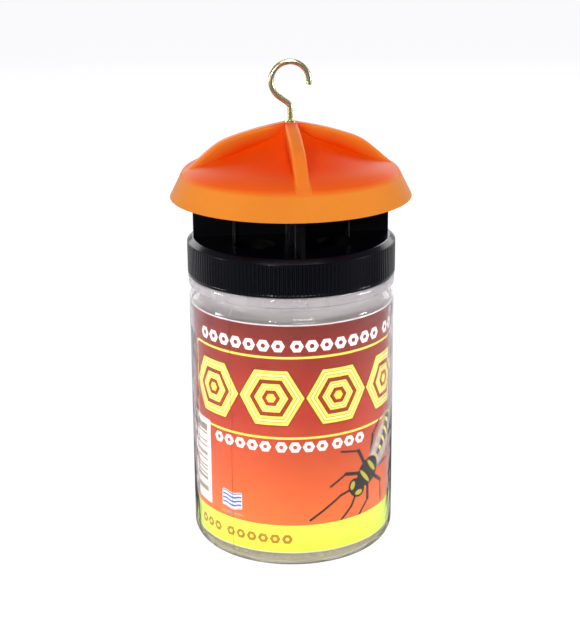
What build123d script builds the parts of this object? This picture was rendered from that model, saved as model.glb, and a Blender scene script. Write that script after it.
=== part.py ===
"""Hanging wasp trap: a clear screw-top jar, a black lid with crossed vanes, an umbrella roof and a hook.

Millimetres. +Z is up, the origin is the centre of the jar's foot, and the four vanes run along X and Y.
The front of the trap faces -Y.
"""

import os
from math import asin, cos, degrees, radians, sin

from build123d import *

# Jar: a blow-moulded wide-mouth jar with a bead under the lid and a sloping shoulder.
jar_radius = 46.0
jar_wall = 1.0
jar_height = 140.7
foot_inner_radius = 33.0
heel_radius = 7.0
push_up = 4.5
floor_thickness = 1.4
shoulder_z = 114.6
neck_base_z = 120.4
neck_radius = 42.8
neck_inner_radius = 41.2
bead_radius = 46.2
bead_bottom = 121.6
bead_top = 126.0
bead_round = 1.2
lip_round = 0.5

# Thread shared by the jar's neck and the lid. The jar's ridge is broken where the mould parts.
thread_pitch = 5.08
thread_root_half_width = 1.2
thread_crest_half_width = 0.5
thread_bite = 0.25
jar_thread_radius = 44.2
jar_thread_z = 128.3
jar_thread_start = 61.5
jar_thread_arc = 152.0
jar_thread_break = 28.0
jar_thread_runs = 3
lid_thread_radius = 43.2
lid_thread_start = 185.5
lid_thread_arc = 324.0
lid_thread_drop = 2.0

# Printed sheet, rolled up inside the jar with its ends overlapping at the back.
label_radius = 44.2
label_thickness = 0.25
label_bottom = 7.4
label_top = 114.3
label_start = 100.0
label_arc = 344.0
label_tuck_arc = 10.0
label_overlap_arc = 22.0
label_tuck = 0.45

# Ribbed screw lid with a flat deck.
lid_bottom = 126.5
lid_bore_radius = 44.6
lid_root_radius = 45.95
lid_rib_radius = 46.4
lid_rib_count = 160
lid_rib_bite = 0.3
lid_rib_root_share = 0.78
lid_rib_crest_share = 0.34
lid_band_top = 127.9
lid_band_round = 0.35
lid_rib_top = 140.9
lid_shoulder_z = 141.2
lid_deck_radius = 44.0
lid_deck_top = 143.2
lid_deck_round = 0.6
deck_thickness = 1.8

# Sealing ring between the lid's deck and the jar's lip.
liner_inner_radius = 38.0
liner_outer_radius = 44.2

# One-way entrance cones, pushed up into holes in the deck.
cone_ring_radius = 25.0
cone_hole_radius = 9.5
cone_fit = 0.04
cone_wall = 1.0
cone_flange_radius = 11.4
cone_flange_thickness = 1.0
cone_throat_radius = 4.0
cone_throat_bottom = 127.0
cone_throat_length = 1.5

# Crossed vanes on a hub, with pegs through the deck that are headed over below it.
vane_thickness = 2.0
vane_clearance = 0.5
vane_root_radius = 2.1
vane_edge_radius = 43.6
hub_radius = 3.3
hub_nose_radius = 2.35
hub_sleeve_radius = 1.95
hub_nose_length = 5.0
hub_bore_depth = 14.5
spigot_radius = 2.5
peg_ring_radius = 25.0
peg_radius = 1.6
peg_fit = 0.05
peg_top = 166.0
peg_head_radius = 2.6
peg_head_thickness = 1.2

# Umbrella roof with four hollow ridges over the vanes.
roof_rim_radius = 53.3
roof_rim_z = 160.9
roof_eave_radius = 47.6
roof_eave_z = 172.4
roof_eave_round = 4.0
roof_top_z = 193.0
roof_boss_radius = 3.6
roof_step_in = 1.1
roof_step_down = 1.2
roof_hole_radius = 2.0
ridge_width = 6.0
ridge_round = 1.4
ridge_wall = 1.3
panel_points = [(7.5, 187.8), (14.0, 184.5), (22.0, 181.3), (30.0, 178.5), (37.0, 176.4), (43.5, 174.4)]
crest_points = [(16.5, 190.2), (24.5, 187.8), (31.5, 184.9), (38.0, 180.0), (43.7, 175.0)]
crest_foot = (49.25, 169.0)
ridge_foot_height = 4.0

# Brass cup hook: ring, lean, reverse bend, straight shank and a screw that turns in the hub.
wire_radius = 1.25
hook_ring_radius = 8.3
hook_ring_z = 210.9
hook_tip_angle = -12.0
hook_lean = 36.0
hook_bend_radius = 3.0
screw_core_radius = 1.0
screw_crest_radius = 1.45
screw_pitch = 1.25
screw_length = 12.5
screw_point = 1.5
screw_root_half_width = 0.42
screw_crest_half_width = 0.1
screw_fit = 0.06
screw_bite = 0.12
hub_thread_arc = 2880.0
collar_radius = 2.7
collar_thickness = 0.9
collar_neck_radius = 1.75
collar_neck_height = 0.4

# Levels and radii that follow from the dimensions above.
foot_radius = jar_radius - heel_radius
inner_radius = jar_radius - jar_wall
deck_underside = lid_deck_top - deck_thickness
roof_underside = roof_top_z - roof_step_down
collar_top = roof_top_z + collar_thickness + collar_neck_height
screw_bottom = roof_top_z - screw_length
screw_ridge_z = screw_bottom + screw_pitch / 2
hub_ridge_z = screw_ridge_z + screw_pitch / 2

os.makedirs("parts", exist_ok=True)


def write(piece, name):
    """Labels a finished piece and writes it to its own STEP file."""
    piece.part.label = name
    export_step(piece.part, f"parts/{name}.step")


def polar(radius, angle):
    """The point at this radius and angle, in degrees from +X."""
    return (radius * cos(radians(angle)), radius * sin(radians(angle)))


def helical_ridge(radius, crest, sweep_angle, pitch, root_half, crest_half):
    """A trapezoidal thread ridge from radius to crest, starting on the +X side at height 0."""
    with BuildPart() as ridge:
        with BuildLine():
            path = Helix(pitch=pitch, height=pitch * sweep_angle / 360, radius=radius)
        with BuildSketch(Plane(origin=path @ 0, x_dir=(1, 0, 0), z_dir=path % 0)):
            with BuildLine():
                Polyline(
                    (0, -root_half),
                    (crest - radius, -crest_half),
                    (crest - radius, crest_half),
                    (0, root_half),
                    close=True,
                )
            make_face()
        sweep(path=path, is_frenet=True)
    return ridge.part


def neck_thread_z(angle):
    """Height of the middle of the jar's ridge at an angle in degrees, counted on past 360."""
    return jar_thread_z + thread_pitch * (angle - jar_thread_start) / 360


# Jar: the wall is turned from one closed outline, then the neck's ridges are added.
heel_middle = sin(radians(45))
inner_heel = heel_radius - jar_wall
inner_heel_z = heel_radius + floor_thickness - jar_wall
dome_radius = (foot_inner_radius**2 + push_up**2) / (2 * push_up)
dome_angle = degrees(asin(foot_inner_radius / dome_radius))

jar_ridge = helical_ridge(
    neck_radius - thread_bite,
    jar_thread_radius,
    jar_thread_arc,
    thread_pitch,
    thread_root_half_width,
    thread_crest_half_width,
)

with BuildPart() as jar:
    with BuildSketch(Plane.XZ):
        with BuildLine():
            Line((0, push_up), (0, push_up + floor_thickness))
            JernArc((0, push_up + floor_thickness), (1, 0), radius=dome_radius, arc_size=-dome_angle)
            Line((foot_inner_radius, floor_thickness), (foot_radius, floor_thickness))
            ThreePointArc(
                (foot_radius, floor_thickness),
                (foot_radius + inner_heel * heel_middle, inner_heel_z - inner_heel * heel_middle),
                (inner_radius, inner_heel_z),
            )
            Line((inner_radius, inner_heel_z), (inner_radius, shoulder_z - jar_wall))
            Spline(
                (inner_radius, shoulder_z - jar_wall),
                (neck_inner_radius, neck_base_z),
                tangents=((0, 1), (0, 1)),
            )
            Polyline(
                (neck_inner_radius, neck_base_z),
                (neck_inner_radius, jar_height),
                (neck_radius - lip_round, jar_height),
            )
            JernArc((neck_radius - lip_round, jar_height), (1, 0), radius=lip_round, arc_size=-90)
            Polyline(
                (neck_radius, jar_height - lip_round),
                (neck_radius, bead_top),
                (bead_radius - bead_round, bead_top),
            )
            JernArc((bead_radius - bead_round, bead_top), (1, 0), radius=bead_round, arc_size=-90)
            Line((bead_radius, bead_top - bead_round), (bead_radius, bead_bottom + bead_round))
            JernArc((bead_radius, bead_bottom + bead_round), (0, -1), radius=bead_round, arc_size=-90)
            Polyline(
                (bead_radius - bead_round, bead_bottom),
                (neck_radius, bead_bottom),
                (neck_radius, neck_base_z),
            )
            Spline((neck_radius, neck_base_z), (jar_radius, shoulder_z), tangents=((0.35, -1), (0, -1)))
            Line((jar_radius, shoulder_z), (jar_radius, heel_radius))
            ThreePointArc(
                (jar_radius, heel_radius),
                (foot_radius + heel_radius * heel_middle, heel_radius - heel_radius * heel_middle),
                (foot_radius, 0),
            )
            Line((foot_radius, 0), (foot_inner_radius, 0))
            JernArc((0, push_up), (1, 0), radius=dome_radius, arc_size=-dome_angle)
        make_face()
    revolve(axis=Axis.Z)
    for run in range(jar_thread_runs):
        angle = jar_thread_start + run * (jar_thread_arc + jar_thread_break)
        add(jar_ridge.moved(Location((0, 0, neck_thread_z(angle)), (0, 0, angle))))
write(jar, "jar")

# Label sheet: a strip that runs round the wall, steps in by its own thickness and tucks under itself.
tuck_angle = label_start + label_arc
overlap_angle = tuck_angle + label_tuck_arc
end_angle = overlap_angle + label_overlap_arc
label_inner_radius = label_radius - label_thickness

with BuildPart() as label_sheet:
    with BuildSketch(Plane.XY.offset(label_bottom)):
        with BuildLine():
            CenterArc((0, 0), label_radius, label_start, label_arc)
            Spline(
                polar(label_radius, tuck_angle),
                polar(label_radius - label_tuck, overlap_angle),
                tangents=(polar(1, tuck_angle + 90), polar(1, overlap_angle + 90)),
            )
            CenterArc((0, 0), label_radius - label_tuck, overlap_angle, label_overlap_arc)
            tucked_corner = polar(label_radius - label_tuck, end_angle)
            Line(tucked_corner, polar(label_inner_radius - label_tuck, end_angle))
            CenterArc((0, 0), label_inner_radius - label_tuck, end_angle, -label_overlap_arc)
            Spline(
                polar(label_inner_radius - label_tuck, overlap_angle),
                polar(label_inner_radius, tuck_angle),
                tangents=(polar(1, overlap_angle - 90), polar(1, tuck_angle - 90)),
            )
            CenterArc((0, 0), label_inner_radius, tuck_angle, -label_arc)
            Line(polar(label_inner_radius, label_start), polar(label_radius, label_start))
        make_face()
    extrude(amount=label_top - label_bottom)
write(label_sheet, "label_sheet")

# Liner: a flat sealing ring.
with BuildPart() as liner:
    with BuildSketch(Plane.XY.offset(jar_height)):
        Circle(liner_outer_radius)
        Circle(liner_inner_radius, mode=Mode.SUBTRACT)
    extrude(amount=deck_underside - jar_height)
write(liner, "liner")

# Lid: a turned cap with ribs round its skirt, a thread inside and holes through the deck.
lid_ridge = helical_ridge(
    lid_bore_radius + thread_bite,
    lid_thread_radius,
    lid_thread_arc,
    thread_pitch,
    thread_root_half_width,
    thread_crest_half_width,
)
lid_thread_z = neck_thread_z(lid_thread_start) - lid_thread_drop
rib_step = 360 / lid_rib_count
rib_root_half = rib_step * lid_rib_root_share / 2
rib_crest_half = rib_step * lid_rib_crest_share / 2

with BuildPart() as lid:
    with BuildSketch(Plane.XZ) as lid_section:
        with BuildLine():
            Polyline(
                (0, lid_deck_top),
                (0, deck_underside),
                (lid_bore_radius, deck_underside),
                (lid_bore_radius, lid_bottom),
                (lid_root_radius, lid_bottom),
                (lid_root_radius, lid_shoulder_z),
                (lid_deck_radius, lid_deck_top),
                close=True,
            )
        make_face()
        fillet(lid_section.vertices().sort_by_distance((lid_deck_radius, lid_deck_top))[0], lid_deck_round)
    revolve(axis=Axis.Z)
    with BuildSketch(Plane.XY.offset(lid_band_top - lid_rib_bite)):
        with BuildLine():
            Polyline(
                polar(lid_root_radius - lid_rib_bite, -rib_root_half),
                polar(lid_root_radius, -rib_root_half),
                polar(lid_rib_radius, -rib_crest_half),
                polar(lid_rib_radius, rib_crest_half),
                polar(lid_root_radius, rib_root_half),
                polar(lid_root_radius - lid_rib_bite, rib_root_half),
                close=True,
            )
        rib = make_face(mode=Mode.PRIVATE)
        with PolarLocations(0, lid_rib_count):
            add(rib)
    extrude(amount=lid_rib_top - lid_band_top + lid_rib_bite)
    with BuildSketch(Plane.XZ) as band_section:
        with Locations(((lid_bore_radius + lid_rib_radius) / 2, (lid_bottom + lid_band_top) / 2)):
            Rectangle(lid_rib_radius - lid_bore_radius, lid_band_top - lid_bottom)
        fillet(band_section.vertices().group_by(Axis.X)[-1], lid_band_round)
    revolve(axis=Axis.Z)
    add(lid_ridge.moved(Location((0, 0, lid_thread_z), (0, 0, lid_thread_start))))
    with BuildSketch(Plane.XY.offset(lid_deck_top)):
        Circle(spigot_radius + peg_fit)
        with PolarLocations(peg_ring_radius, 4):
            Circle(peg_radius + peg_fit)
        with PolarLocations(cone_ring_radius, 4, start_angle=45):
            Circle(cone_hole_radius)
    extrude(amount=-deck_thickness, mode=Mode.SUBTRACT)
write(lid, "lid")

# Entrance cones: a neck in the deck's hole, a flange below it, a cone and a short throat.
neck_outer = cone_hole_radius - cone_fit
cone_mouth_radius = neck_outer - cone_wall
cone_flange_bottom = deck_underside - cone_flange_thickness
throat_top = cone_throat_bottom + cone_throat_length

for number in range(4):
    centre = polar(cone_ring_radius, 225 + 90 * number)
    with BuildPart() as entrance_cone:
        with BuildSketch(Plane.XZ.offset(-centre[1])):
            with BuildLine():
                Polyline(
                    (centre[0] + cone_mouth_radius, lid_deck_top),
                    (centre[0] + neck_outer, lid_deck_top),
                    (centre[0] + neck_outer, deck_underside),
                    (centre[0] + cone_flange_radius, deck_underside),
                    (centre[0] + cone_flange_radius, cone_flange_bottom),
                    (centre[0] + neck_outer, cone_flange_bottom),
                    (centre[0] + cone_throat_radius + cone_wall, throat_top),
                    (centre[0] + cone_throat_radius + cone_wall, cone_throat_bottom),
                    (centre[0] + cone_throat_radius, cone_throat_bottom),
                    (centre[0] + cone_throat_radius, throat_top),
                    (centre[0] + cone_mouth_radius, cone_flange_bottom),
                    close=True,
                )
            make_face()
        revolve(axis=Axis((centre[0], centre[1], 0), (0, 0, 1)))
    write(entrance_cone, f"entrance_cone_{number + 1}")


def crest_section(step_in, step_down, bottom):
    """The upright section under a ridge's crest, moved in and down, and closed at a level below."""
    ridge = [(roof_boss_radius, roof_top_z), *crest_points, crest_foot]
    crest = [(r - step_in, z - step_down) for r, z in ridge]
    with BuildSketch() as section:
        with BuildLine():
            line = Spline(*crest, tangents=((1, -0.18), (0.5, -0.85)))
            Polyline(line @ 1, (crest[-1][0], bottom), (0, bottom), (0, crest[0][1]), line @ 0)
        make_face()
    return section.sketch


# Vane cross: one vane with its peg, repeated round the hub, and the tapped sleeve for the hook's screw.
with BuildPart() as vane:
    with BuildSketch(Plane.XZ):
        add(crest_section(roof_step_in, roof_step_down + vane_clearance, lid_deck_top))
        with Locations((vane_root_radius, lid_deck_top)):
            Rectangle(
                vane_edge_radius - vane_root_radius,
                roof_top_z - lid_deck_top,
                align=(Align.MIN, Align.MIN),
                mode=Mode.INTERSECT,
            )
    extrude(amount=vane_thickness / 2, both=True)
    with BuildSketch(Plane.XY.offset(deck_underside)):
        with Locations((peg_ring_radius, 0)):
            Circle(peg_radius)
    extrude(amount=peg_top - deck_underside)
    with BuildSketch(Plane.XY.offset(deck_underside)):
        with Locations((peg_ring_radius, 0)):
            Circle(peg_head_radius)
    extrude(amount=-peg_head_thickness, taper=20)

hub_bore_radius = screw_crest_radius + screw_fit
hub_ridge = helical_ridge(
    hub_bore_radius + screw_bite,
    screw_core_radius + screw_fit,
    hub_thread_arc,
    screw_pitch,
    screw_pitch / 2 - screw_crest_half_width - screw_fit,
    screw_pitch / 2 - screw_root_half_width - screw_fit,
)

bore_bottom = roof_underside - hub_bore_depth

with BuildPart() as hub_sleeve:
    with BuildSketch(Plane.XY.offset(bore_bottom)):
        Circle(hub_sleeve_radius)
        Circle(hub_bore_radius, mode=Mode.SUBTRACT)
    extrude(amount=hub_bore_depth)
    add(hub_ridge.moved(Location((0, 0, hub_ridge_z))))

with BuildPart() as vane_cross:
    with BuildSketch(Plane.XY.offset(bore_bottom)):
        Circle(hub_nose_radius)
        Circle(hub_sleeve_radius, mode=Mode.SUBTRACT)
    extrude(amount=hub_bore_depth)
    with BuildSketch(Plane.XY.offset(bore_bottom)):
        Circle(hub_radius)
        Circle(hub_sleeve_radius, mode=Mode.SUBTRACT)
    extrude(amount=hub_bore_depth - hub_nose_length)
    with BuildSketch(Plane.XY.offset(lid_deck_top)):
        Circle(hub_radius)
    extrude(amount=bore_bottom - lid_deck_top)
    with BuildSketch(Plane.XY.offset(lid_deck_top)):
        Circle(spigot_radius)
    extrude(amount=-deck_thickness)
    with PolarLocations(0, 4):
        add(vane.part)
    add(hub_sleeve.part)
write(vane_cross, "vane_cross")


def roof_body(step_in, step_down, width, rounding):
    """The roof's filled form, moved in and down by one wall for its inside."""
    top = roof_top_z - step_down
    panel = [(r - step_in, z - step_down) for r, z in panel_points]
    eave = (roof_eave_radius - step_in, roof_eave_z - step_down)
    slope = (roof_rim_radius - roof_eave_radius) / (roof_eave_z - roof_rim_z)
    rim = eave[0] + slope * (eave[1] - roof_rim_z)

    with BuildPart() as ridge:
        with BuildSketch(Plane.XZ):
            add(crest_section(step_in, step_down, roof_rim_z + ridge_foot_height))
        extrude(amount=width / 2, both=True)
        if rounding:
            crest_edges = ridge.edges().filter_by(GeomType.BSPLINE)
            fillet(crest_edges, rounding)

    with BuildPart() as body:
        with BuildSketch(Plane.XZ) as section:
            with BuildLine():
                Polyline((0, roof_rim_z), (rim, roof_rim_z), eave)
                flank = Spline(
                    eave,
                    *reversed(panel),
                    (roof_boss_radius - step_in, top),
                    tangents=((-0.9, 0.4), (-0.3, 1)),
                )
                Polyline(flank @ 1, (0, top), (0, roof_rim_z))
            make_face()
            fillet(section.vertices().sort_by_distance(eave)[0], roof_eave_round)
        revolve(axis=Axis.Z)
        with PolarLocations(0, 4):
            add(ridge.part)
    return body.part


# Roof: the outer form less the same form one wall smaller, with a hole for the hook.
with BuildPart() as roof:
    add(roof_body(0, 0, ridge_width, ridge_round))
    add(roof_body(roof_step_in, roof_step_down, ridge_width - 2 * ridge_wall, 0), mode=Mode.SUBTRACT)
    with Locations((0, 0, roof_top_z)):
        Hole(radius=roof_hole_radius)
write(roof, "roof")

# Hook collar: the pressed disc between the hook's shank and the roof.
with BuildPart() as hook_collar:
    with BuildSketch(Plane.XZ):
        with BuildLine():
            Polyline(
                (wire_radius + screw_fit, roof_top_z),
                (collar_radius, roof_top_z),
                (collar_radius, roof_top_z + collar_thickness),
                (collar_neck_radius, roof_top_z + collar_thickness),
                (collar_neck_radius, collar_top),
                (wire_radius + screw_fit, collar_top),
                close=True,
            )
        make_face()
    revolve(axis=Axis.Z)
write(hook_collar, "hook_collar")

# Hook: the wire is swept up the shank, round the reverse bend, along the lean and over the ring.
lean = radians(hook_lean)
ring_start = polar(hook_ring_radius, -90 - hook_lean)
bend_rise = hook_bend_radius * cos(lean)
bend_shift = hook_bend_radius * (1 - sin(lean))
lean_length = (-ring_start[0] - bend_shift) / cos(lean)
lean_top = (ring_start[0], hook_ring_z + ring_start[1])
lean_foot = (lean_top[0] + lean_length * cos(lean), lean_top[1] - lean_length * sin(lean))
shank_top = (0, lean_foot[1] - bend_rise)
tip = polar(hook_ring_radius, hook_tip_angle)

hook_ridge = helical_ridge(
    screw_core_radius - screw_bite,
    screw_crest_radius,
    360 * (screw_length / screw_pitch - 1),
    screw_pitch,
    screw_root_half_width,
    screw_crest_half_width,
)

with BuildPart() as hook:
    with BuildLine(Plane.XZ) as hook_path:
        Line((0, roof_top_z), shank_top)
        TangentArc(shank_top, lean_foot, tangent=(0, 1))
        Line(lean_foot, lean_top)
        ThreePointArc(lean_top, (0, hook_ring_z + hook_ring_radius), (tip[0], hook_ring_z + tip[1]))
    with BuildSketch(Plane.XY.offset(roof_top_z)):
        Circle(wire_radius)
    sweep(path=hook_path.wire())
    with BuildSketch(Plane.XY.offset(roof_top_z)):
        Circle(screw_core_radius)
    extrude(amount=-screw_length)
    with BuildSketch(Plane.XY.offset(screw_bottom)):
        Circle(screw_core_radius)
    extrude(amount=-screw_point, taper=25)
    add(hook_ridge.moved(Location((0, 0, screw_ridge_z))))
write(hook, "hook")
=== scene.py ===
"""Hanging wasp trap on a plain pale floor, in metres, in the CAD frame. +Z is up. The front faces -Y."""

import math

import bmesh
import bpy
from mathutils import Euler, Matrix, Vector
from mathutils.bvhtree import BVHTree


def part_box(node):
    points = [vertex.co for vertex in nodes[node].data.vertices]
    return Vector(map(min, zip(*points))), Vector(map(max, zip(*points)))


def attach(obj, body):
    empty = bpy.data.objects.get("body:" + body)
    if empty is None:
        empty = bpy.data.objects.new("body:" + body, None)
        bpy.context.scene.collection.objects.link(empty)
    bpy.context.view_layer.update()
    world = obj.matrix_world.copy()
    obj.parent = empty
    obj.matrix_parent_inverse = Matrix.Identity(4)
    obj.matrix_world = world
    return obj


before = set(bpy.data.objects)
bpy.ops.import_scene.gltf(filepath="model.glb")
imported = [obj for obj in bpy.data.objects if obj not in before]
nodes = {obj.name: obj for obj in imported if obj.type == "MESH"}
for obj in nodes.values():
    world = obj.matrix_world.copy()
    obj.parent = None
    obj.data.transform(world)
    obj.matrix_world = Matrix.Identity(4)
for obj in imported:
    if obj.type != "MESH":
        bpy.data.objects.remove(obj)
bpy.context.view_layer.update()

# A millimetre in metres, and the millimetres in a metre.
MM = 0.001
MM_IN_METRE = 1000.0

# The camera stands a little to the left of the front vane and looks down on the trap.
# Its distance, its shift to the right and its height are in metres, and its lens in millimetres.
CAMERA_TURN = math.radians(6.5)
CAMERA_DISTANCE = 0.655
CAMERA_SHIFT = -0.0008
CAMERA_HEIGHT = 0.3143
CAMERA_PITCH = math.radians(17.92)
CAMERA_ROLL = math.radians(-0.46)
CAMERA_LENS = 85.42

# The jar's two mould halves meet along these directions, in degrees from +X, and between these heights.
PARTING_ANGLES = (227.5, 47.5)
PARTING_BOTTOM, PARTING_TOP = 2.2 * MM, 121.0 * MM
PARTING_STEPS = 90

# The parting line's section in millimetres: along the wall and out from it.
PARTING_SECTION = ((-0.15, -0.12), (-0.07, 0.02), (0.0, 0.035), (0.07, 0.02), (0.15, -0.12))

# Height of the point on the trap's axis that the lamps are aimed at.
AIM_HEIGHT = 0.12

# How much the floor is lifted towards white where the camera sees it.
FLOOR_LIFT = 0.955

# The share of that white which the clear wall shows, of the floor and of the room.
WALL_SHARE = 0.75


# ---------------------------------------------------------------------------------------------
# Arithmetic on shader sockets
# ---------------------------------------------------------------------------------------------


class Field:
    """A number that varies over a surface. Arithmetic on it adds Math nodes to its material."""

    def __init__(self, tree, value):
        self.tree = tree
        self.value = value

    def math(self, operation, *others):
        node = self.tree.nodes.new("ShaderNodeMath")
        node.operation = operation
        for socket, item in zip(node.inputs, (self, *others)):
            value = item.value if isinstance(item, Field) else item
            if isinstance(value, bpy.types.NodeSocket):
                self.tree.links.new(value, socket)
            else:
                socket.default_value = value
        return Field(self.tree, node.outputs[0])

    def __add__(self, other):
        return self.math("ADD", other)

    def __sub__(self, other):
        return self.math("SUBTRACT", other)

    def __mul__(self, other):
        return self.math("MULTIPLY", other)

    def __truediv__(self, other):
        return self.math("DIVIDE", other)

    def __neg__(self):
        return self.math("MULTIPLY", -1.0)

    def abs(self):
        return self.math("ABSOLUTE")

    def floor(self):
        return self.math("FLOOR")

    def sin(self):
        return self.math("SINE")

    def wrap(self, size):
        """The distance from the nearest multiple of size, signed."""
        return self.math("WRAP", size / 2, -size / 2)

    def max(self, other):
        return self.math("MAXIMUM", other)

    def min(self, other):
        return self.math("MINIMUM", other)

    def clamp(self):
        return self.max(0.0).min(1.0)

    def below(self, edge, soft):
        """1 where the value is below edge, 0 above it, with a ramp of this width between."""
        return ((-self + edge) / soft + 0.5).clamp()

    def above(self, edge, soft):
        """1 where the value is above edge, 0 below it, with a ramp of this width between."""
        return ((self - edge) / soft + 0.5).clamp()


def length(x, y):
    """The length of a flat vector."""
    return (x * x + y * y).math("SQRT")


def kinds_of_ray(tree, *kinds):
    """1 for rays of each of these kinds, 0 for others."""
    outputs = tree.nodes.new("ShaderNodeLightPath").outputs
    return [Field(tree, outputs[f"Is {kind} Ray"]) for kind in kinds]


class Material:
    """A node material with one Principled shader, and helpers for patterns over it."""

    def __init__(self, name):
        self.data = bpy.data.materials.new(name)
        self.data.use_nodes = True
        self.tree = self.data.node_tree
        self.shader = self.tree.nodes["Principled BSDF"]
        self.output = self.tree.nodes["Material Output"]
        place = self.tree.nodes.new("ShaderNodeTexCoord").outputs["Object"]
        self.place = place
        split = self.tree.nodes.new("ShaderNodeSeparateXYZ")
        self.tree.links.new(place, split.inputs[0])
        self.x, self.y, self.z = (Field(self.tree, socket) * MM_IN_METRE for socket in split.outputs)

    def faces_out(self):
        """1 where the surface faces away from the trap's axis, 0 where it faces the axis."""
        split = self.tree.nodes.new("ShaderNodeSeparateXYZ")
        normal = self.place.node.outputs["Normal"]
        self.tree.links.new(normal, split.inputs[0])
        across, along = (Field(self.tree, split.outputs[k]) for k in (0, 1))
        return (across * self.x + along * self.y).above(0.0, soft=0.1)

    def set(self, **values):
        """Sets the shader's plain inputs. Underscores in a name stand for spaces."""
        for name, value in values.items():
            self.shader.inputs[name.replace("_", " ")].default_value = value

    def noise(self, per_mm, detail=2.0, roughness=0.5, stretch=(1.0, 1.0, 1.0)):
        """Smooth noise from 0 to 1 with this many features in a millimetre."""
        mapping = self.tree.nodes.new("ShaderNodeMapping")
        mapping.inputs["Scale"].default_value = stretch
        self.tree.links.new(self.place, mapping.inputs["Vector"])
        node = self.tree.nodes.new("ShaderNodeTexNoise")
        node.inputs["Scale"].default_value = per_mm * MM_IN_METRE
        node.inputs["Detail"].default_value = detail
        node.inputs["Roughness"].default_value = roughness
        self.tree.links.new(mapping.outputs[0], node.inputs["Vector"])
        return Field(self.tree, node.outputs["Fac"])

    def mix(self, factor, low, high):
        """A colour between two colours, each a tuple or another mix."""
        node = self.tree.nodes.new("ShaderNodeMix")
        node.data_type = "RGBA"
        self.tree.links.new(factor.value, node.inputs["Factor"])
        for name, colour in (("A", low), ("B", high)):
            socket = [s for s in node.inputs if s.name == name and s.type == "RGBA"][0]
            if isinstance(colour, bpy.types.NodeSocket):
                self.tree.links.new(colour, socket)
            else:
                socket.default_value = (*colour, 1.0)
        return [s for s in node.outputs if s.type == "RGBA"][0]

    def colour(self, socket):
        self.tree.links.new(socket, self.shader.inputs["Base Color"])

    def roughness(self, field):
        self.tree.links.new(field.value, self.shader.inputs["Roughness"])

    def bump(self, height, depth_mm, strength=1.0):
        """Raises the surface by height times depth."""
        node = self.tree.nodes.new("ShaderNodeBump")
        node.inputs["Strength"].default_value = strength
        node.inputs["Distance"].default_value = depth_mm * MM
        self.tree.links.new(height.value, node.inputs["Height"])
        self.tree.links.new(node.outputs[0], self.shader.inputs["Normal"])


# ---------------------------------------------------------------------------------------------
# Materials
# ---------------------------------------------------------------------------------------------


def let_lamps_through(material, tint):
    """Lets lamp light pass the clear wall, so that what stands inside is lit as in real life."""
    tree = material.tree
    shadow = kinds_of_ray(tree, "Shadow")[0]
    clear = tree.nodes.new("ShaderNodeBsdfTransparent")
    clear.inputs["Color"].default_value = (*tint, 1.0)
    mixed = tree.nodes.new("ShaderNodeMixShader")
    tree.links.new(shadow.value, mixed.inputs[0])
    tree.links.new(material.shader.outputs[0], mixed.inputs[1])
    tree.links.new(clear.outputs[0], mixed.inputs[2])
    tree.links.new(mixed.outputs[0], material.output.inputs["Surface"])


def clear_pet():
    """Blown PET: clear and slightly wavy in the wall, milkier where it is thick at the neck and foot."""
    neck_level, foot_level = 118.0, 5.0
    tinted_level, rubbed_level = 12.0, 16.0
    wall_haze, thick_haze, uneven_haze = 0.005, 0.2, 0.14
    foot_tint = (0.80, 0.76, 0.63)
    m = Material("clear_pet")
    m.set(IOR=1.5, Specular_Tint=(0.5, 0.5, 0.51, 1.0))
    waves = m.noise(0.035, detail=2.0) + m.noise(0.16, detail=1.0) * 0.12
    m.bump(waves, depth_mm=0.9)
    patches = m.noise(0.35, detail=6.0, roughness=0.7).above(0.62, soft=0.12)
    rub = patches * m.z.below(rubbed_level, soft=14.0)
    m.roughness(m.noise(0.05) * 0.03 + 0.02 + rub * 0.16)
    cloud = m.noise(0.06, detail=3.0)
    milk = m.mix(cloud, (0.76, 0.72, 0.74), (0.86, 0.83, 0.85))
    m.colour(m.mix(m.z.below(tinted_level, soft=8.0), milk, foot_tint))
    thick = m.z.above(neck_level, soft=5.0).max(m.z.below(foot_level, soft=5.0))
    haze = thick * (cloud * uneven_haze + thick_haze) + wall_haze
    m.tree.links.new((-haze + 1.0).value, m.shader.inputs["Transmission Weight"])
    let_lamps_through(m, (0.96, 0.965, 0.955))
    return m


def black_moulding(name, base, roughness, wear, shine):
    """Black polypropylene with fine mould grain and rub marks paler than the base colour by wear."""
    m = Material(name)
    m.set(IOR=1.5, Specular_IOR_Level=shine)
    cloud = m.noise(0.06, detail=4.0)
    scuff = m.noise(1.1, detail=6.0, roughness=0.75, stretch=(1.0, 1.0, 0.35)).above(0.66, soft=0.06)
    grey = tuple(c + wear for c in base)
    m.colour(m.mix((cloud * 0.35 + scuff * 0.5).clamp(), base, grey))
    m.roughness(m.noise(0.4, detail=3.0) * 0.1 + roughness + scuff * 0.1)
    m.bump(m.noise(3.5, detail=3.0) + m.noise(0.09, detail=1.0) * 2.0, depth_mm=0.02)
    return m


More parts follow.
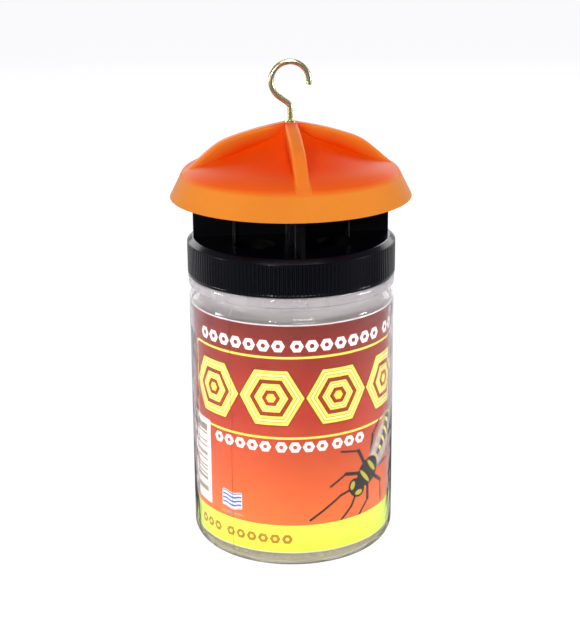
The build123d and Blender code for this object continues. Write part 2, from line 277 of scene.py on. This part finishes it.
def orange_shell():
    """Orange polypropylene with painted light: a paler orange on the hanging edge band and along the
    ridge tops stands in for light shining through the thin plastic, and a little of it towards the outer
    edge stands in for sheen.
    """
    skirt_height = 11.0
    crest_fall, crest_depth, crest_half_width = 0.0092, 3.6, 3.5
    rim_radius = 40.0
    m = Material("orange_shell")
    m.set(IOR=1.5, Specular_IOR_Level=0.2, Specular_Tint=(1.0, 0.35, 0.08, 1.0))
    m.set(Subsurface_Weight=0.3, Subsurface_Radius=(1.0, 0.3, 0.05), Subsurface_Scale=0.003)
    cloud = m.noise(0.03, detail=3.0)
    panel = m.mix(cloud, (0.64, 0.036, 0.0002), (0.68, 0.050, 0.0004))
    # Painted light: the paler orange that stands in for light shining through the thin plastic and for
    # sheen.
    glow_orange = m.mix(cloud, (0.66, 0.20, 0.022), (0.70, 0.23, 0.03))
    low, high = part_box("roof")
    radius = length(m.x, m.y)
    below_crest = -m.z + high.z / MM - radius * radius * crest_fall
    beside_crest = m.x.abs().min(m.y.abs())
    crest_glow = below_crest.below(crest_depth, soft=5.0) * beside_crest.below(crest_half_width, soft=0.5)
    crest_glow = crest_glow * radius.above(7.0, soft=8.0)
    rim_sheen = radius.above(rim_radius, soft=20.0)
    # Painted light and painted sheen: paler along the bottom band, on the ridge tops and, a little,
    # towards the outer edge.
    painted_glow = m.z.below(low.z / MM + skirt_height, soft=3.4).max(crest_glow * 0.7).max(rim_sheen * 0.3)
    m.colour(m.mix(painted_glow, panel, glow_orange))
    fine = m.noise(1.6, detail=4.0, roughness=0.6)
    m.roughness(m.noise(0.12, detail=3.0) * 0.06 + fine * 0.05 + 0.34)
    m.bump(m.noise(0.05, detail=2.0) * 5.0 + fine * 0.25, depth_mm=0.03)
    return m


def brass():
    """Bright brass plate on drawn wire, with fine lengthwise drawing marks and a little tarnish."""
    m = Material("brass_plate_bright")
    m.set(Metallic=0.92)
    tarnish = m.noise(0.3, detail=5.0, roughness=0.65).above(0.6, soft=0.2)
    m.colour(m.mix(tarnish, (0.78, 0.72, 0.42), (0.40, 0.35, 0.17)))
    m.roughness(m.noise(1.5, detail=4.0) * 0.08 + 0.2 + tarnish * 0.12)
    m.bump(m.noise(4.0, detail=2.0), depth_mm=0.012)
    return m


def foam():
    """White closed-cell sealing foam."""
    m = Material("white_foam")
    cells = m.noise(2.2, detail=3.0)
    m.colour(m.mix(cells, (0.62, 0.62, 0.60), (0.80, 0.80, 0.77)))
    m.roughness(cells * 0.2 + 0.6)
    m.bump(cells, depth_mm=0.12)
    return m


def pale_floor():
    """A white sweep: a mid-grey floor, shown as white to the camera and, less so, in the clear wall."""
    m = Material("pale_floor")
    m.colour(m.mix(m.noise(0.01, detail=3.0), (0.105, 0.102, 0.108), (0.12, 0.117, 0.123)))
    m.roughness(m.noise(0.2, detail=2.0) * 0.1 + 0.75)
    m.set(Specular_IOR_Level=0.0)
    lift = m.tree.nodes.new("ShaderNodeEmission")
    lift.inputs["Color"].default_value = (0.985, 0.975, 1.0, 1.0)
    lift.inputs["Strength"].default_value = FLOOR_LIFT
    nothing = m.tree.nodes.new("ShaderNodeEmission")
    nothing.inputs["Strength"].default_value = 0.0
    camera, mirror, through = kinds_of_ray(m.tree, "Camera", "Glossy", "Transmission")
    behind = m.y.above(160.0, soft=200.0) * WALL_SHARE
    shown = camera.max(mirror * behind).max(through * WALL_SHARE)
    seen = m.tree.nodes.new("ShaderNodeMixShader")
    total = m.tree.nodes.new("ShaderNodeAddShader")
    m.tree.links.new(shown.value, seen.inputs[0])
    m.tree.links.new(nothing.outputs[0], seen.inputs[1])
    m.tree.links.new(lift.outputs[0], seen.inputs[2])
    m.tree.links.new(m.shader.outputs[0], total.inputs[0])
    m.tree.links.new(seen.outputs[0], total.inputs[1])
    m.tree.links.new(total.outputs[0], m.output.inputs["Surface"])
    return m


# ---------------------------------------------------------------------------------------------
# Printed sheet: everything on it is a plain invented pattern, drawn in millimetres.
# u runs round the sheet from the front, rising to the viewer's right. v is the height.
# ---------------------------------------------------------------------------------------------

INK = {
    "dark_red": (0.135, 0.010, 0.004),
    "red": (0.36, 0.026, 0.008),
    "orange": (0.76, 0.155, 0.03),
    "lime": (0.66, 0.90, 0.075),
    "yellow": (0.80, 0.74, 0.10),
    "lemon": (0.93, 0.90, 0.42),
    "olive": (0.42, 0.40, 0.03),
    "white": (0.86, 0.84, 0.80),
    "black": (0.012, 0.010, 0.008),
    "blue": (0.05, 0.16, 0.50),
    "smoke": (0.30, 0.26, 0.20),
    "rust": (0.42, 0.19, 0.02),
    "paper": (0.66, 0.63, 0.62),
}


class Print:
    """The artwork being laid down, one ink over another."""

    def __init__(self, material, u, v, ground):
        self.m = material
        self.u = u
        self.v = v
        self.art = ground

    def ink(self, mask, name, cover=1.0):
        """Lays one ink where mask is 1."""
        self.art = self.m.mix(mask * cover if cover < 1.0 else mask, self.art, INK[name])

    def at(self, centre, turn=0.0):
        """Coordinates about a centre, turned anticlockwise by an angle in degrees."""
        x = self.u - centre[0]
        y = self.v - centre[1]
        c, s = math.cos(math.radians(turn)), math.sin(math.radians(turn))
        return x * c + y * s, y * c - x * s

    def capsule(self, start, end, width, name, soft=0.15):
        """A straight stroke with round ends."""
        x = self.u - start[0]
        y = self.v - start[1]
        dx, dy = end[0] - start[0], end[1] - start[1]
        along = ((x * dx + y * dy) / (dx * dx + dy * dy)).clamp()
        distance = length(x - along * dx, y - along * dy)
        self.ink(distance.below(width / 2, soft=soft), name)

    def ellipse(self, centre, radii, turn, name, cover=1.0, soft=0.12):
        """A filled ellipse, turned anticlockwise by an angle in degrees."""
        x, y = self.at(centre, turn)
        reach = length(x / radii[0], y / radii[1])
        self.ink(reach.below(1.0, soft=soft / min(radii) * 2), name, cover=cover)

    def rounded_box(self, low, high, corner):
        """Signed distance in millimetres from a box with round corners."""
        x, y = self.at(((low[0] + high[0]) / 2, (low[1] + high[1]) / 2))
        over_x = (x.abs() - ((high[0] - low[0]) / 2 - corner)).max(0.0)
        over_y = (y.abs() - ((high[1] - low[1]) / 2 - corner)).max(0.0)
        return length(over_x, over_y) - corner

    def hexagons(self, first, pitch, count, level):
        """Distance from the nearest centre in a row of cells, equal all along a cell's six sides."""
        nearest = ((self.u - first) / pitch + 0.5).floor().max(0.0).min(count - 1.0)
        x = (self.u - first - nearest * pitch).abs()
        y = (self.v - level).abs()
        return (x * math.cos(math.pi / 6) + y * math.sin(math.pi / 6)).max(y)


def honeycomb_title(p, low, high):
    """A row of glowing comb cells inside a thin frame."""
    cell, count, gap, margin = 12.6, 5, 0.6, 15.0
    p.ink(p.rounded_box(low, high, corner=3.0).abs().below(0.5, soft=0.2), "yellow")
    level = (low[1] + high[1]) / 2
    pitch = 2 * cell / math.cos(math.pi / 6) + gap
    row = p.hexagons(low[0] + margin, pitch=pitch, count=count, level=level)
    for inset, half_width in ((2.2, 2.1), (7.6, 1.5)):
        ring = (row - (cell - inset)).abs()
        p.ink(ring.below(half_width + 0.5, soft=0.6), "dark_red", cover=0.8)
        p.ink(ring.below(half_width, soft=0.25), "yellow")
        p.ink(ring.below(half_width * 0.42, soft=0.25), "olive")
        p.ink(ring.below(half_width * 0.2, soft=0.25), "lemon")
    p.ink(row.below(1.9, soft=0.3), "yellow")


def cell_line(p, groups, level, size, name):
    """A line of small open cells in groups, each given by its first cell's place and its count."""
    for first, count in groups:
        row = p.hexagons(first, pitch=size * 2.6, count=count, level=level)
        p.ink((row - size * 0.7).abs().below(size * 0.32, soft=0.2), name)


def striped_panel(p, low, high):
    """A pale panel with plain bars of uneven width."""
    bar_pitch = 0.8
    p.ink(p.rounded_box(low, high, corner=0.6).below(0.0, soft=0.2), "white")
    choice = p.m.tree.nodes.new("ShaderNodeTexWhiteNoise")
    choice.noise_dimensions = "1D"
    bars = (p.v / bar_pitch).floor()
    p.m.tree.links.new(bars.value, choice.inputs["W"])
    chosen = Field(p.m.tree, choice.outputs["Value"]).above(0.5, soft=0.02)
    inside = p.rounded_box((low[0] + 4.0, low[1] + 3.0), (high[0] - 3.0, high[1] - 3.0), corner=0.2)
    p.ink(chosen * inside.below(0.0, soft=0.1), "smoke")


def striped_badge(p, low, high):
    """A small wavy badge of pale and blue stripes."""
    stripe_pitch = 1.9
    wave = (p.u * 0.7).sin() * 0.5
    lifted = Print(p.m, p.u, p.v + wave, p.art)
    box = lifted.rounded_box(low, high, corner=0.8)
    p.ink(box.below(0.0, soft=0.2), "white")
    stripe = (lifted.v - low[1]).wrap(stripe_pitch).abs().below(0.5, soft=0.15)
    p.ink(box.below(-0.3, soft=0.2) * stripe, "blue")


# The wasp's legs and feelers on one side, joint by joint and outwards, in millimetres before the
# wasp is scaled and turned. Its head points to the left.
WASP_LEGS = (
    ((-4.0, 2.5), (-8.0, 7.5), (-14.5, 8.5)),
    ((-1.0, 3.0), (0.5, 9.5), (-4.0, 15.0)),
    ((2.0, 2.5), (8.5, 8.0), (14.0, 8.5)),
)
WASP_FEELER = ((-10.0, 1.4), (-14.0, 3.2), (-27.0, 4.4))


def plain_wasp(p, centre, turn, size):
    """An invented wasp seen from above: wings, legs, a banded tail and two feelers."""
    leg_widths, feeler_widths = (1.3, 0.75), (0.9, 0.8)
    tail_centre, tail_radii = (13.0, 0.0), (10.0, 4.6)
    band_pitch, band_half_width, band_bow = 3.4, 1.05, 0.05
    c, s = math.cos(math.radians(turn)), math.sin(math.radians(turn))

    def spot(du, dv):
        return (centre[0] + size * (du * c - dv * s), centre[1] + size * (du * s + dv * c))

    def blob(du, dv, radii, lean, name, cover=1.0):
        scaled = (radii[0] * size, radii[1] * size)
        p.ellipse(spot(du, dv), scaled, turn + lean, name, cover, soft=0.2)

    def limb(joints, widths, side):
        for start, end, width in zip(joints, joints[1:], widths):
            ends = [spot(du, dv * side) for du, dv in (start, end)]
            p.capsule(*ends, width=width * size, name="black", soft=0.25)

    for side in (1, -1):
        for leg in WASP_LEGS:
            limb(leg, leg_widths, side)
        limb(WASP_FEELER, feeler_widths, side)
    blob(*tail_centre, tail_radii, lean=0, name="yellow")
    x, y = p.at(spot(*tail_centre), turn)
    tail = length(x / (tail_radii[0] * size), y / (tail_radii[1] * size)).below(1.0, soft=0.06)
    from_band = (x + y * y * band_bow).wrap(band_pitch * size).abs()
    p.ink(tail * from_band.below(band_half_width * size, soft=0.25), "black")
    for side in (1, -1):
        blob(9.5, 3.6 * side, (10.5, 2.6), lean=13 * side, name="smoke", cover=0.75)
        blob(8.7, 3.2 * side, (8.5, 1.5), lean=12 * side, name="paper", cover=0.4)
    # The body with two pale bands across it, then the head and its eyes.
    blob(-1.5, 0.0, (5.6, 4.4), lean=0, name="black")
    blob(-3.6, 0.0, (3.2, 0.7), lean=90, name="olive")
    blob(0.8, 0.0, (3.0, 0.8), lean=90, name="olive")
    blob(-8.4, 0.0, (3.0, 3.9), lean=0, name="black")
    for side in (1, -1):
        blob(-9.0, 2.0 * side, (1.5, 0.9), lean=35 * side, name="olive")


def back_of_sheet(p, bottom, top):
    """A framed honeycomb and two lines of small cells on each side of the sheet's seam."""
    width, cell, cell_pitch = 34.0, 6.0, 16.0
    for left in (-132.0, 98.0):
        border = p.rounded_box((left, bottom + 24.0), (left + width, top - 22.0), corner=2.5)
        p.ink(border.abs().below(0.4, soft=0.2), "yellow")
        for level in (top - 36.0, top - 52.0):
            row = p.hexagons(left + 9.0, pitch=cell_pitch, count=2, level=level)
            p.ink((row - cell).abs().below(0.7, soft=0.3), "yellow")
            p.ink(row.below(2.0, soft=0.3), "yellow")
        for level in (bottom + 30.0, top - 14.0):
            cell_line(p, ((left + 4.0, 6),), level=level, size=1.9, name="white")


def printed_sheet():
    """Satin printed film: the artwork on its outer face and bare pale film on its inner face."""
    lime_height, bare_edge = 13.5, 0.5
    m = Material("printed_film")
    low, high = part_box("label_sheet")
    radius = high.y / MM
    bottom, top = low.z / MM, high.z / MM
    lime_top = bottom + lime_height
    u = m.x.math("ARCTAN2", -m.y) * radius
    # The ground is orange above the lime band, red from half way up and dark red at the top.
    rise = ((m.z - lime_top) / (top - lime_top)).clamp()
    glow = m.noise(0.02, detail=2.0) * 0.16 - 0.08
    redness = (rise * 1.9 + glow).clamp()
    darkness = (rise * 2.6 - 1.6 + glow).clamp()
    ground = m.mix(darkness, m.mix(redness, INK["orange"], INK["red"]), INK["dark_red"])
    p = Print(m, u, m.z, ground)
    honeycomb_title(p, low=(-59.0, top - 51.8), high=(84.0, top - 14.8))
    cell_line(p, ((-50.0, 7), (-3.0, 7), (46.0, 4)), level=top - 9.6, size=2.5, name="white")
    cell_line(p, ((-41.0, 5), (-10.0, 4), (15.0, 3)), level=top - 56.0, size=2.3, name="white")
    striped_panel(p, low=(-66.7, bottom + 16.1), high=(-47.4, top - 50.5))
    back_of_sheet(p, bottom, top)
    striped_badge(p, low=(-39.7, bottom + 18.1), high=(-28.6, bottom + 26.1))
    under_badge = p.rounded_box((-40.0, bottom + 15.4), (-28.6, bottom + 16.3), corner=0.4)
    p.ink(under_badge.below(0.0, soft=0.2), "smoke")
    plain_wasp(p, centre=(34.0, bottom + 34.5), turn=40.0, size=1.34)
    p.ink(p.v.below(lime_top, soft=0.15), "lime")
    cell_line(p, ((-54.0, 3), (-35.0, 6)), level=bottom + 6.8, size=2.1, name="rust")
    edge = (p.v - bottom).below(bare_edge, soft=0.2).max((p.v - top).above(-bare_edge, soft=0.2))
    p.ink(edge, "paper")
    grain = m.noise(2.6, detail=2.0)
    specked = m.mix(grain * 0.008, p.art, INK["white"])
    m.colour(m.mix(m.faces_out(), INK["paper"], specked))
    m.roughness(grain * 0.1 + 0.42)
    m.set(Specular_IOR_Level=0.2)
    m.bump(m.noise(0.05, detail=2.0) * 6.0 + grain * 0.3, depth_mm=0.03)
    return m


# ---------------------------------------------------------------------------------------------
# Pieces made here
# ---------------------------------------------------------------------------------------------


def make_piece(name, vertices, faces, material, smooth=True):
    """A piece from points in metres, with its faces all turned outwards."""
    mesh = bpy.data.meshes.new(name)
    mesh.from_pydata([tuple(v) for v in vertices], [], faces)
    mesh.validate()
    mesh.update()
    bm = bmesh.new()
    bm.from_mesh(mesh)
    bmesh.ops.recalc_face_normals(bm, faces=bm.faces)
    bm.to_mesh(mesh)
    bm.free()
    for polygon in mesh.polygons:
        polygon.use_smooth = smooth
    piece = bpy.data.objects.new(name, mesh)
    bpy.context.scene.collection.objects.link(piece)
    mesh.materials.append(material.data)
    return piece


def jar_outline(angle, levels):
    """Radius of the jar's outer face at each level, measured on the CAD mesh in one direction."""
    outside = 0.2
    mesh = nodes["jar"].data
    tree = BVHTree.FromPolygons(
        [v.co for v in mesh.vertices],
        [tuple(p.vertices) for p in mesh.polygons],
    )
    outward = Vector((math.cos(angle), math.sin(angle), 0.0))
    radii = []
    for level in levels:
        hit = tree.ray_cast(outward * outside + Vector((0.0, 0.0, level)), -outward)[0]
        radii.append(Vector((hit.x, hit.y)).length)
    return radii


def parting_line(number, angle_degrees, material):
    """The thin raised bead where the two halves of the blow mould met, from the heel to the bead."""
    angle = math.radians(angle_degrees)
    outward = Vector((math.cos(angle), math.sin(angle), 0.0))
    across = Vector((-outward.y, outward.x, 0.0))
    height = PARTING_TOP - PARTING_BOTTOM
    levels = [PARTING_BOTTOM + height * i / PARTING_STEPS for i in range(PARTING_STEPS + 1)]
    vertices = []
    for level, radius in zip(levels, jar_outline(angle, levels)):
        for side, lift in PARTING_SECTION:
            on_wall = outward * (radius + lift * MM)
            vertices.append(on_wall + across * side * MM + Vector((0.0, 0.0, level)))
    width = len(PARTING_SECTION)
    faces = []
    for row in range(PARTING_STEPS):
        for k in range(width):
            a, b = row * width + k, row * width + (k + 1) % width
            faces.append((a, b, b + width, a + width))
    faces.append(tuple(range(width)))
    faces.append(tuple(reversed(range(PARTING_STEPS * width, (PARTING_STEPS + 1) * width))))
    piece = make_piece(f"jar_parting_line_{number}", vertices, faces, material)
    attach(piece, "jar")


# ---------------------------------------------------------------------------------------------
# Studio
# ---------------------------------------------------------------------------------------------


def camera_place(side, back, height):
    """A point given to the camera's right, towards the camera and above the floor."""
    towards = Vector((-math.sin(CAMERA_TURN), -math.cos(CAMERA_TURN), 0.0))
    right = Vector((math.cos(CAMERA_TURN), -math.sin(CAMERA_TURN), 0.0))
    return towards * back + right * side + Vector((0.0, 0.0, height))


def add_camera():
    """The camera that sees the trap as the photo does."""
    data = bpy.data.cameras.new("camera")
    data.sensor_width = 36.0
    data.lens = CAMERA_LENS
    data.clip_start = 0.01
    data.clip_end = 20.0
    camera = bpy.data.objects.new("camera", data)
    bpy.context.scene.collection.objects.link(camera)
    camera.location = camera_place(CAMERA_SHIFT, CAMERA_DISTANCE, CAMERA_HEIGHT)
    facing = Euler((math.pi / 2 - CAMERA_PITCH, 0.0, -CAMERA_TURN)).to_matrix()
    roll = Euler((0.0, 0.0, CAMERA_ROLL)).to_matrix()
    camera.rotation_euler = (facing @ roll).to_euler()
    bpy.context.scene.camera = camera


def seen_from_trap(turn, rise, distance):
    """A point in this direction from the trap: degrees to the camera's right, and degrees up."""
    turn, rise = math.radians(turn), math.radians(rise)
    flat = distance * math.cos(rise)
    height = AIM_HEIGHT + distance * math.sin(rise)
    return camera_place(flat * math.sin(turn), flat * math.cos(turn), height)


def softbox(name, turn, rise, size, power, distance=1.1):
    """A soft lamp aimed at the trap. Its size and distance are in metres and its power in watts."""
    data = bpy.data.lights.new(name, "AREA")
    data.shape = "RECTANGLE"
    data.size, data.size_y = size
    data.energy = power
    lamp = bpy.data.objects.new(name, data)
    bpy.context.scene.collection.objects.link(lamp)
    lamp.location = seen_from_trap(turn, rise, distance)
    aim = Vector((0.0, 0.0, AIM_HEIGHT)) - lamp.location
    lamp.rotation_euler = aim.to_track_quat("-Z", "Y").to_euler()
    lamp.visible_camera = False


def add_world():
    """A dim room that shows as white to the camera and, less so, through the clear wall."""
    world = bpy.data.worlds.new("studio")
    bpy.context.scene.world = world
    world.use_nodes = True
    tree = world.node_tree
    dim = tree.nodes["Background"]
    dim.inputs["Color"].default_value = (0.96, 0.97, 1.0, 1.0)
    dim.inputs["Strength"].default_value = 0.11
    white = tree.nodes.new("ShaderNodeBackground")
    white.inputs["Color"].default_value = (0.97, 0.965, 0.98, 1.0)
    mixed = tree.nodes.new("ShaderNodeMixShader")
    camera, through = kinds_of_ray(tree, "Camera", "Transmission")
    tree.links.new(camera.max(through * WALL_SHARE).value, mixed.inputs[0])
    tree.links.new(dim.outputs[0], mixed.inputs[1])
    tree.links.new(white.outputs[0], mixed.inputs[2])
    tree.links.new(mixed.outputs[0], tree.nodes["World Output"].inputs["Surface"])


def add_studio():
    """The room, its lamps and the floor."""
    add_world()
    softbox("softbox_left", turn=-84.0, rise=6.0, size=(0.26, 0.26), power=6.0)
    softbox("softbox_right", turn=84.0, rise=6.0, size=(0.24, 0.24), power=6.5)
    softbox("softbox_front", turn=-22.0, rise=16.0, size=(0.16, 0.08), power=5.0)
    softbox("softbox_high", turn=14.0, rise=40.0, size=(0.4, 0.25), power=4.8)
    softbox("ceiling", turn=0.0, rise=80.0, size=(0.9, 0.9), power=5.0)
    softbox("backdrop", turn=180.0, rise=20.0, size=(2.8, 0.66), power=11.0, distance=1.4)
    half_side = 12.0
    corners = [(x * half_side, y * half_side, 0.0) for x, y in ((-1, -1), (1, -1), (1, 1), (-1, 1))]
    floor = make_piece("floor", corners, [(0, 1, 2, 3)], pale_floor(), smooth=False)
    bpy.context.scene.view_settings.view_transform = "Standard"


def paint(node, material):
    """Gives a CAD node one material all over."""
    slots = nodes[node].data.materials
    for index in range(len(slots)):
        slots[index] = material.data


add_camera()
add_studio()

clear = clear_pet()
# Painted reflection: the blue in the lid's near-black base stands in for the bluish reflections along
# its ribs.
black = black_moulding(
    "black_moulding", base=(0.0004, 0.0009, 0.0034), roughness=0.13, wear=0.002, shine=0.55
)
cone_black = black_moulding(
    "cone_moulding", base=(0.0008, 0.0008, 0.0010), roughness=0.6, wear=0.001, shine=0.06
)
vane_black = black_moulding(
    "vane_moulding", base=(0.0018, 0.0015, 0.0024), roughness=0.26, wear=0.004, shine=0.16
)
bright_brass = brass()

paint("jar", clear)
paint("label_sheet", printed_sheet())
paint("liner", foam())
paint("lid", black)
paint("vane_cross", vane_black)
paint("roof", orange_shell())
paint("hook_collar", bright_brass)
paint("hook", bright_brass)
for number in range(1, 5):
    paint(f"entrance_cone_{number}", cone_black)

for number, angle_degrees in enumerate(PARTING_ANGLES, 1):
    parting_line(number, angle_degrees, clear)
